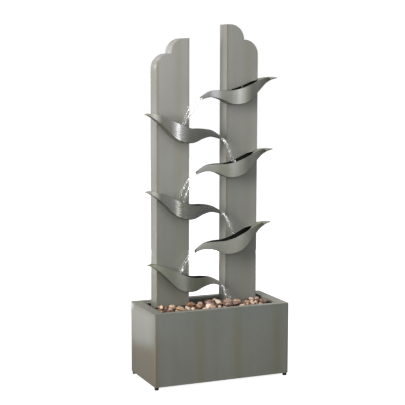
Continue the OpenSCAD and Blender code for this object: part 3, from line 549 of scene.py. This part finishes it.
# In a ring, the skins tell the inside, wet and in painted shade, from the outer faces, and the lip
# is what closes.
skin, top_skin, lip_inset, lip_depth, mouth_inset = 0.0013, 0.0012, 0.0017, 0.0026, 0.0025
half_seam, front_cut, tip_lift, tip_slim = 0.0005, 0.006, 0.0030, 0.42
spout_inset, sheet_height = 0.0065, 0.2
spouts = {}
for node, (tip_rise, spout_rise, wear, tail, stains) in leaves.items():
    bm = bmesh.new()
    bm.from_mesh(frame["nodes"][node].data)
    bmesh.ops.remove_doubles(bm, verts=bm.verts, dist=1e-6)
    low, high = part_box(node)
    side = 1 if low.x + high.x > 0 else -1
    mouth_x = low.x if side > 0 else high.x
    mouth = [v.co for v in bm.verts if abs(v.co.x - mouth_x) < 1e-5]
    spouts[node] = (sum(mouth, Vector()) / len(mouth)
                    + Vector((spout_inset * side, 0, spout_rise)))
    spout_slim, tip_longer, spout_shorter = ((0.11, 0.006, 0.0028) if side > 0
                                             else (-0.08, -0.009, 0.0))
    sheet = bm.loops.layers.uv.new("sheet")
    wet = bm.verts.layers.float.new("wet")
    rings = {}
    for v in bm.verts:
        rings.setdefault(round(v.co.x, 4), []).append(v)
    tip_x = high.x if side > 0 else low.x
    for place, ring in rings.items():
        share = abs(place - tip_x) / (high.x - low.x)
        front, back = min(v.co.y for v in ring), max(v.co.y for v in ring)
        foot, top = min(v.co.z for v in ring), max(v.co.z for v in ring)
        middle = (front + back) / 2
        closing = 1 - smooth(0.21, 0.32, share)
        slim = (1 - tip_slim * (1 - smooth(0.0, 0.22, share))
                - spout_slim * smooth(0.58, 0.95, share))
        shorter = spout_shorter * max((share - 0.82) / 0.18, 0) ** 2
        rise = (tip_rise * (1 - share) ** 2 + spout_rise * share ** 2
                + tip_lift * max(1 - share / 0.12, 0))
        longer = tip_longer * max(1 - share / 0.25, 0) ** 2
        for v in ring:
            in_front = v.co.y < middle
            inside = (front + skin < v.co.y < back - skin
                      and foot + skin < v.co.z < top - top_skin)
            lip = front + lip_inset < v.co.y < back - lip_inset and v.co.z > top - lip_depth
            in_mouth = share > 0.955 and front + mouth_inset < v.co.y < back - 0.0004
            v[wet] = 1.0 if inside or in_mouth else 0.0
            for loop in v.link_loops:
                height = (v.co.z - foot) / max(top - foot, 1e-6)
                loop[sheet].uv = (share, height * sheet_height)
            if lip:
                seam = middle + (-half_seam if in_front else half_seam)
                v.co.y += (seam - v.co.y) * closing
            v.co.z = top - (top - v.co.z) * slim + rise
            v.co.x += side * (longer + shorter)
            if share > 0.995 and side > 0 and v.co.y < front + mouth_inset:
                v.co.x += front_cut
    mesh = bpy.data.meshes.new(node + "_dressed")
    bm.to_mesh(mesh)
    bm.free()
    coat_piece(placed_piece(node + "_dressed", mesh, node),
               brushed_leaf("brushed_" + node, wear, tail, stains))

# ---- Outlet gasket: a rubber sheet that fills the notch in the top leaf's
# ---- back over the hose's outlet. Known fault: it has no thickness, because
# ---- solidify follows the grid's first normals and only widens the sheet.

nut_low, nut_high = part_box("outlet_nut")
gasket_t, gasket_low = 0.0010, nut_high.z + 0.0008
gasket_left, gasket_right = nut_low.x - 0.0086, nut_high.x + 0.0086
left_top, right_top = 1.0180, 1.0292
bm = bmesh.new()
sheet_verts = bmesh.ops.create_grid(bm, x_segments=8, y_segments=1, size=0.5)["verts"]
for v in sheet_verts:
    share = v.co.x + 0.5
    top = left_top + (right_top - left_top) * share ** 1.25
    v.co = Vector((gasket_left + (gasket_right - gasket_left) * share, right_low.y - 0.0003,
                   top if v.co.y > 0 else gasket_low))
bmesh.ops.solidify(bm, geom=bm.verts[:] + bm.edges[:] + bm.faces[:], thickness=gasket_t)
bmesh.ops.recalc_face_normals(bm, faces=bm.faces)
bmesh.ops.bevel(bm, geom=[e for e in bm.edges if e.calc_face_angle(0) > 1.0], offset=0.0002,
                segments=2, profile=0.5, affect="EDGES", material=-1)
shift = right_low.y - 0.0001 - max(v.co.y for v in bm.verts)
bmesh.ops.translate(bm, verts=bm.verts, vec=(0, shift, 0))
mesh = bpy.data.meshes.new("outlet_gasket")
bm.to_mesh(mesh)
bm.free()
gasket = bpy.data.objects.new("outlet_gasket", mesh)
bpy.context.scene.collection.objects.link(gasket)
mesh.materials.append(black_rubber)
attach(gasket, frame["nodes"]["right_leaf_1"]["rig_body"])

# ---- Pebble tray and trestles: powder-coated sheet. The tray lies on two
# ---- loose trestles and lifts out by hand.


def powder_coat(name, tone):
    """Dark powder paint with its fine pimples, and lime marks where water has dried."""
    made, shader, wire = finish(name)
    spot = object_spot(wire)
    pimples = clouds(spot, 900.0, 1.0)
    lime = rising(clouds(spot, 34.0, 4.0), 0.55, 0.75)
    feed(shader, Base_Color=mixed(lime * 0.35, (*tone, 1), (*(c * 2.2 for c in tone), 1)),
         Roughness=0.5 + 0.15 * lime,
         Normal=relief(pimples, 0.3, 0.0003))
    return made


dark_coat = powder_coat("dark_steel", (0.045, 0.047, 0.046))
for node in ("pebble_tray", "tray_trestles"):
    coat_piece(softened(node, 0.0004, 2, lambda e: e.calc_length() > 0.005), dark_coat)

# ---- Pebbles: river stones of cream quartz, rose granite and brown jasper,
# ---- poured on the tray, large ones first and gravel over them. Each is a
# ---- ball with a few broken faces, tumbled smooth.


def stone_coat(name, pale, deep, vein):
    """Tumbled river stone: each stone's own shade, with clouds, specks and veins in it."""
    made, shader, wire = finish(name)
    spot = object_spot(wire)
    shade = wire.node("Attribute", {"attribute_name": "shade"}, {}, "Fac")
    cloud = clouds(spot, 80.0, 4.0)
    speck = rising(clouds(spot, 480.0, 2.0), 0.52, 0.66)
    lines = rising(1 - abs(clouds(spot, 26.0, 3.0) - 0.5) * 14, 0.2, 0.9)
    colour = mixed(rising(shade + 0.7 * (cloud - 0.5), 0.0, 1.0), (*deep, 1), (*pale, 1))
    colour = mixed(speck * 0.25, colour, (*(c * 0.45 for c in deep), 1))
    colour = mixed(lines * 0.30, colour, (*vein, 1))
    feed(shader, Base_Color=colour, Roughness=0.42 + 0.22 * cloud, Coat_Weight=0.12,
         Coat_Roughness=0.25,
         Normal=relief(cloud, 0.35, 0.0008))
    return made


stone_coats = {
    "cream_pebbles": ("cream_stone", (0.58, 0.465, 0.38), (0.34, 0.215, 0.125),
                      (0.60, 0.54, 0.48)),
    "rose_pebbles": ("rose_stone", (0.36, 0.235, 0.180), (0.13, 0.068, 0.050),
                     (0.44, 0.34, 0.28)),
    "brown_pebbles": ("brown_stone", (0.23, 0.105, 0.055), (0.040, 0.022, 0.016),
                      (0.36, 0.22, 0.14)),
}


def worn_stone(bm, dice, size, middle):
    """Adds one stone to a bmesh, its box of that size, and returns its vertices."""
    ball = bmesh.ops.create_icosphere(bm, subdivisions=3, radius=0.5)["verts"]
    seed = Vector(dice.uniform(-50, 50) for _ in range(3))
    breaks = [(Vector(dice.gauss(0, 1) for _ in range(3)).normalized(), dice.uniform(0.30, 0.43))
              for _ in range(dice.choice((3, 4, 5, 6)))]
    for v in ball:
        spot = v.co * (1 + 0.20 * noise.noise(v.co * 2.3 + seed)
                       + 0.05 * noise.noise(v.co * 6.0 + seed))
        for way, depth in breaks:
            spot -= way * max(spot.dot(way) - depth, 0) * 0.94
        v.co = spot
    low = Vector(min(v.co[i] for v in ball) for i in range(3))
    high = Vector(max(v.co[i] for v in ball) for i in range(3))
    bmesh.ops.translate(bm, verts=ball, vec=-(low + high) / 2)
    bmesh.ops.scale(bm, verts=ball, vec=Vector(size[i] / (high[i] - low[i]) for i in range(3)))
    lean = Matrix.Rotation(dice.uniform(-0.35, 0.35), 3, "X")
    bmesh.ops.rotate(bm, verts=ball, matrix=Matrix.Rotation(dice.uniform(0, 6.28), 3, "Z") @ lean)
    bmesh.ops.translate(bm, verts=ball, vec=middle)
    return ball


def loose_parts(bm):
    """The boxes of a bmesh's separate solids, as (lowest, highest) corners."""
    waiting, boxes = set(bm.verts), []
    while waiting:
        unsearched = [waiting.pop()]
        found = list(unsearched)
        while unsearched:
            for e in unsearched.pop().link_edges:
                for v in e.verts:
                    if v in waiting:
                        waiting.discard(v)
                        unsearched.append(v)
                        found.append(v)
        boxes.append((Vector(min(v.co[i] for v in found) for i in range(3)),
                      Vector(max(v.co[i] for v in found) for i in range(3))))
    return sorted(boxes, key=lambda b: (round(b[0].z, 4), round(b[0].y, 4), b[0].x))


def seat(laid, x, y, radius, half, bed):
    """Height of a stone's middle where it comes to rest on the bed or on the stones laid."""
    height = bed + half
    for other_x, other_y, other_z, other_radius, other_half in laid:
        near_share = math.hypot(x - other_x, y - other_y) / (radius + other_radius)
        if near_share < 1:
            height = max(height, other_z + (half + other_half) * math.sqrt(1 - near_share ** 2))
    return height


def crest(x):
    """Height of the heap: highest in the middle, with a small pile at each end."""
    height = 0.2635
    for rise, place, width in ((0.0135, 0.005, 0.085), (0.011, 0.187, 0.021),
                               (0.006, -0.175, 0.030)):
        height += rise * math.exp(-((x - place) / width) ** 2)
    return height


# A stone sinks between those under it, so it is seated as if a little smaller.
stone_seat, gravel_seat = 0.9, 0.85
over_crest = 0.006
dice = random.Random("pebbles")
poured = []
for node in stone_coats:
    cad = bmesh.new()
    cad.from_mesh(frame["nodes"][node].data)
    bmesh.ops.remove_doubles(cad, verts=cad.verts, dist=1e-6)
    poured += [(low, high, node) for low, high in loose_parts(cad)]
    cad.free()
bed = min(low.z for low, high, node in poured)
poured.sort(key=lambda stone: (stone[0].z, stone[0].x, stone[0].y))
laid, piles = [], {node: [] for node in stone_coats}
for low, high, node in poured:
    middle = (low + high) / 2
    radius = (high.x - low.x) / 2 * dice.uniform(0.80, 1.15)
    half = (high.z - low.z) / 2 * dice.uniform(0.80, 1.05)
    height = seat(laid, middle.x, middle.y, stone_seat * radius, stone_seat * half, bed)
    if height + half > crest(middle.x) + over_crest:
        radius, half = 0.6 * radius, 0.6 * half
        height = seat(laid, middle.x, middle.y, stone_seat * radius, stone_seat * half, bed)
    laid.append((middle.x, middle.y, height, radius, half))
    piles[node].append(laid[-1])
tray_low, tray_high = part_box("pebble_tray")
gravel_count = 90
for _ in range(gravel_count):
    radius = dice.uniform(0.0050, 0.0120)
    half = radius * dice.uniform(0.55, 0.85)
    spots = [(dice.uniform(tray_low.x + 0.020, tray_high.x - 0.012),
              dice.uniform(tray_low.y + 0.012, tray_high.y - 0.014)) for _ in range(4)]
    spots = [(x, y, seat(laid, x, y, gravel_seat * radius, gravel_seat * half, bed))
             for x, y in spots]
    x, y, height = min(spots, key=lambda place: place[2])
    if height + half < crest(x):
        laid.append((x, y, height, radius, half))
        piles[dice.choice(("cream_pebbles", "cream_pebbles", "rose_pebbles", "brown_pebbles",
                           "brown_pebbles"))].append(laid[-1])
for node, (slot, *colours) in stone_coats.items():
    bm = bmesh.new()
    shade = bm.verts.layers.float.new("shade")
    for x, y, height, radius, half in piles[node]:
        tone = dice.random() ** 1.3
        size = (2.1 * radius, 2 * radius * dice.uniform(0.70, 0.95), 2 * half)
        for v in worn_stone(bm, dice, size, Vector((x, y, height))):
            v[shade] = tone
    mesh = bpy.data.meshes.new(node + "_dressed")
    bm.to_mesh(mesh)
    bm.free()
    stones = placed_piece(node + "_dressed", mesh, node)
    stones.modifiers.clear()
    coat_piece(stones, stone_coat(slot, *colours))

# ---- Pump: a sealed magnet-drive motor on four suction cups, with its cover,
# ---- impeller, strainer and flow dial, under the tray at the right.


def moulded(name, tone, shine):
    """Moulded plastic with a spark-eroded grain and a film of lime in places."""
    made, shader, wire = finish(name)
    spot = object_spot(wire)
    grain = clouds(spot, 700.0, 1.0)
    film = rising(clouds(spot, 50.0, 4.0), 0.52, 0.72)
    feed(shader, Base_Color=mixed(film * 0.30, (*tone, 1), (*(c * 1.5 + 0.03 for c in tone), 1)),
         Roughness=shine + 0.10 * grain + 0.15 * film,
         Normal=relief(grain, 0.18, 0.0002))
    return made


def ceramic(name):
    """Glazed alumina, almost white, with a faint cloud."""
    made, shader, wire = finish(name)
    spot = object_spot(wire)
    cloud = clouds(spot, 220.0, 2.0)
    feed(shader, Base_Color=mixed(cloud, (0.80, 0.79, 0.75, 1), (0.88, 0.88, 0.86, 1)),
         Roughness=0.16 + 0.08 * cloud)
    return made


black_plastic = moulded("black_plastic", (0.022, 0.022, 0.024), 0.40)
dress(black_plastic, "pump_housing", "volute_cover", "intake_grille", "lower_elbow",
      "outlet_elbow", "outlet_nut", "hose_clips")
dress(moulded("red_plastic", (0.42, 0.025, 0.02), 0.36), "flow_dial")
dress(moulded("magnet_plastic", (0.60, 0.60, 0.62), 0.28), "impeller")
dress(ceramic("white_ceramic"), "rotor_shaft")
dress(black_rubber, "pump_gland")

# ---- Hose: clear-smoke vinyl from the pump into the right tower and up to the
# ---- top leaf, on barbed elbows with wire clamps and clips.


def vinyl(name):
    """Smoke-grey vinyl hose with a soft gloss and fine drawn lines along it."""
    made, shader, wire = finish(name)
    spot = object_spot(wire)
    drawn = clouds(spot, 300.0, 2.0, (1.0, 1.0, 0.03))
    cloud = clouds(spot, 40.0, 3.0)
    feed(shader, Base_Color=mixed(cloud, (0.045, 0.048, 0.048, 1), (0.085, 0.088, 0.086, 1)),
         Roughness=0.24 + 0.12 * drawn, Coat_Weight=0.4, Coat_Roughness=0.12,
         Normal=relief(drawn, 0.10, 0.0002))
    return made


dress(vinyl("hose_vinyl"), "pump_hose", "riser_hose")
dress(zinc, "hose_clamps")

# ---- Water: from each spout two strands arc across the gap into the leaf
# ---- below, or into the stones, thicken and pinch as they fall, and shed drops.


def clear_water():
    """Clear water: glass-like, with white threads of froth along each strand that glow a little, a
    painted glint.
    """
    made, shader, wire = finish("clear_water")
    spot = object_spot(wire)
    froth = rising(clouds(spot, 120.0, 3.0, (1.0, 1.0, 0.30)), 0.56, 0.68)
    feed(shader, Base_Color=(1, 1, 1, 1), Transmission_Weight=1.0, IOR=1.33, Roughness=0.03)
    # painted glint: the froth glows a little with its own white light
    foam_and_painted_glint = wire.node("BsdfPrincipled", {}, {
        "Base Color": (0.95, 0.96, 0.98, 1), "Roughness": 0.25,
        "Emission Color": (1, 1, 1, 1), "Emission Strength": 0.35})
    sheen = wire.node("MixShader", {}, {0: froth * 0.5, 1: Wire(wire.tree, shader.outputs[0]),
                                        2: foam_and_painted_glint})
    output = wire.tree.nodes["Material Output"]
    wire.tree.links.new(sheen.socket, output.inputs["Surface"])
    return made


water_coat = clear_water()


def strand(bm, dice, path, thick, wander):
    """Adds a tapering, pinching strand of water along a path of points."""
    count = len(path)
    ring_before = first = None
    phase, pitch = dice.uniform(0, 6.28), dice.uniform(26, 38)
    travelled = 0.0
    for i, spot in enumerate(path):
        ahead = (path[min(i + 1, count - 1)] - path[max(i - 1, 0)]).normalized()
        if i:
            travelled += (spot - path[i - 1]).length
        side = ahead.cross(Vector((0, 1, 0))).normalized()
        front = side.cross(ahead).normalized()
        share = i / (count - 1)
        pulse = (0.75 + 0.35 * math.sin(travelled * 330 + phase) * share
                 + 0.30 * noise.noise(Vector((travelled * 60, phase, 1))))
        radius = thick * max(pulse, 0.25) * min(1.0, 4 * share + 0.15, 5 * (1 - share) + 0.3)
        swirl = wander * share * Vector((math.cos(travelled * pitch + phase),
                                         math.sin(travelled * pitch + phase)))
        middle = spot + side * swirl.x + front * swirl.y
        ring = bmesh.ops.create_circle(bm, segments=14, radius=radius)["verts"]
        turn = Matrix((side, front, ahead)).transposed().to_4x4()
        bmesh.ops.scale(bm, verts=ring, vec=(1.0, 0.7, 1.0))
        bmesh.ops.transform(bm, verts=ring, matrix=Matrix.Translation(middle) @ turn)
        edges = list({e for v in ring for e in v.link_edges})
        if ring_before:
            bmesh.ops.bridge_loops(bm, edges=ring_before + edges)
        else:
            first = ring
        ring_before = edges
        last = ring
    for end in (first, last):
        bm.faces.new(end)


fall_points = 26


def fall(start, reach, drop_slope, drop_curve, end_y):
    """Points of a falling arc: drop = slope * x + curve * x * x, x measured along the reach."""
    points = []
    for i in range(fall_points):
        x = reach * i / (fall_points - 1)
        along = abs(x)
        points.append(Vector((start.x + x, start.y + (end_y - start.y) * i / (fall_points - 1),
                              start.z - drop_slope * along - drop_curve * along * along)))
    return points


def splash(bm, dice, middle, spread, rise, count):
    """Small drops thrown up round a landing place."""
    for _ in range(count):
        spot = middle + Vector((dice.gauss(0, spread), dice.gauss(0, spread * 0.5),
                                abs(dice.gauss(0, rise))))
        ball = bmesh.ops.create_icosphere(bm, subdivisions=2,
                                          radius=dice.uniform(0.0010, 0.0024))["verts"]
        bmesh.ops.scale(bm, verts=ball, vec=(1, 1, dice.uniform(1.0, 1.9)))
        bmesh.ops.translate(bm, verts=ball, vec=spot)


# For each spout, its strands as (reach, slope, curve in 1/m, radius).
streams = {
    "right_leaf_1": [(-0.0790, 0.93, 4.91, 0.0046), (-0.0790, 0.0, 15.2, 0.0036)],
    "left_leaf_1": [(0.0540, 0.02, 29.8, 0.0037), (0.0470, 0.25, 33.0, 0.0023)],
    "right_leaf_2": [(-0.0760, 0.0, 17.5, 0.0042), (-0.0580, 1.07, 10.9, 0.0034)],
    "left_leaf_2": [(0.0480, 0.05, 32.0, 0.0036), (0.0560, 0.0, 25.0, 0.0024)],
    "right_leaf_3": [(-0.0660, 0.48, 12.8, 0.0044), (-0.0720, 0.0, 14.8, 0.0030)],
    "left_leaf_3": [(0.0230, 0.5, 75.0, 0.0036), (0.0300, 0.2, 50.0, 0.0026)],
}
wander, toward_front = 0.0016, 0.010
shedding_points = (9, 14, 19)
for node, strands in streams.items():
    dice = random.Random("water_" + node)
    bm = bmesh.new()
    start = spouts[node]
    for reach, slope, curve, thick in strands:
        path = fall(start, reach, slope, curve, start.y - toward_front)
        strand(bm, dice, path, thick, wander)
        splash(bm, dice, path[-1], 0.005, 0.006, 5)
        for i in shedding_points:
            splash(bm, dice, path[i], 0.004, 0.004, 1)
    bmesh.ops.recalc_face_normals(bm, faces=bm.faces)
    mesh = bpy.data.meshes.new("water_" + node)
    bm.to_mesh(mesh)
    bm.free()
    for face in mesh.polygons:
        face.use_smooth = True
    water = bpy.data.objects.new("water_" + node, mesh)
    bpy.context.scene.collection.objects.link(water)
    mesh.materials.append(water_coat)
    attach(water, "root")
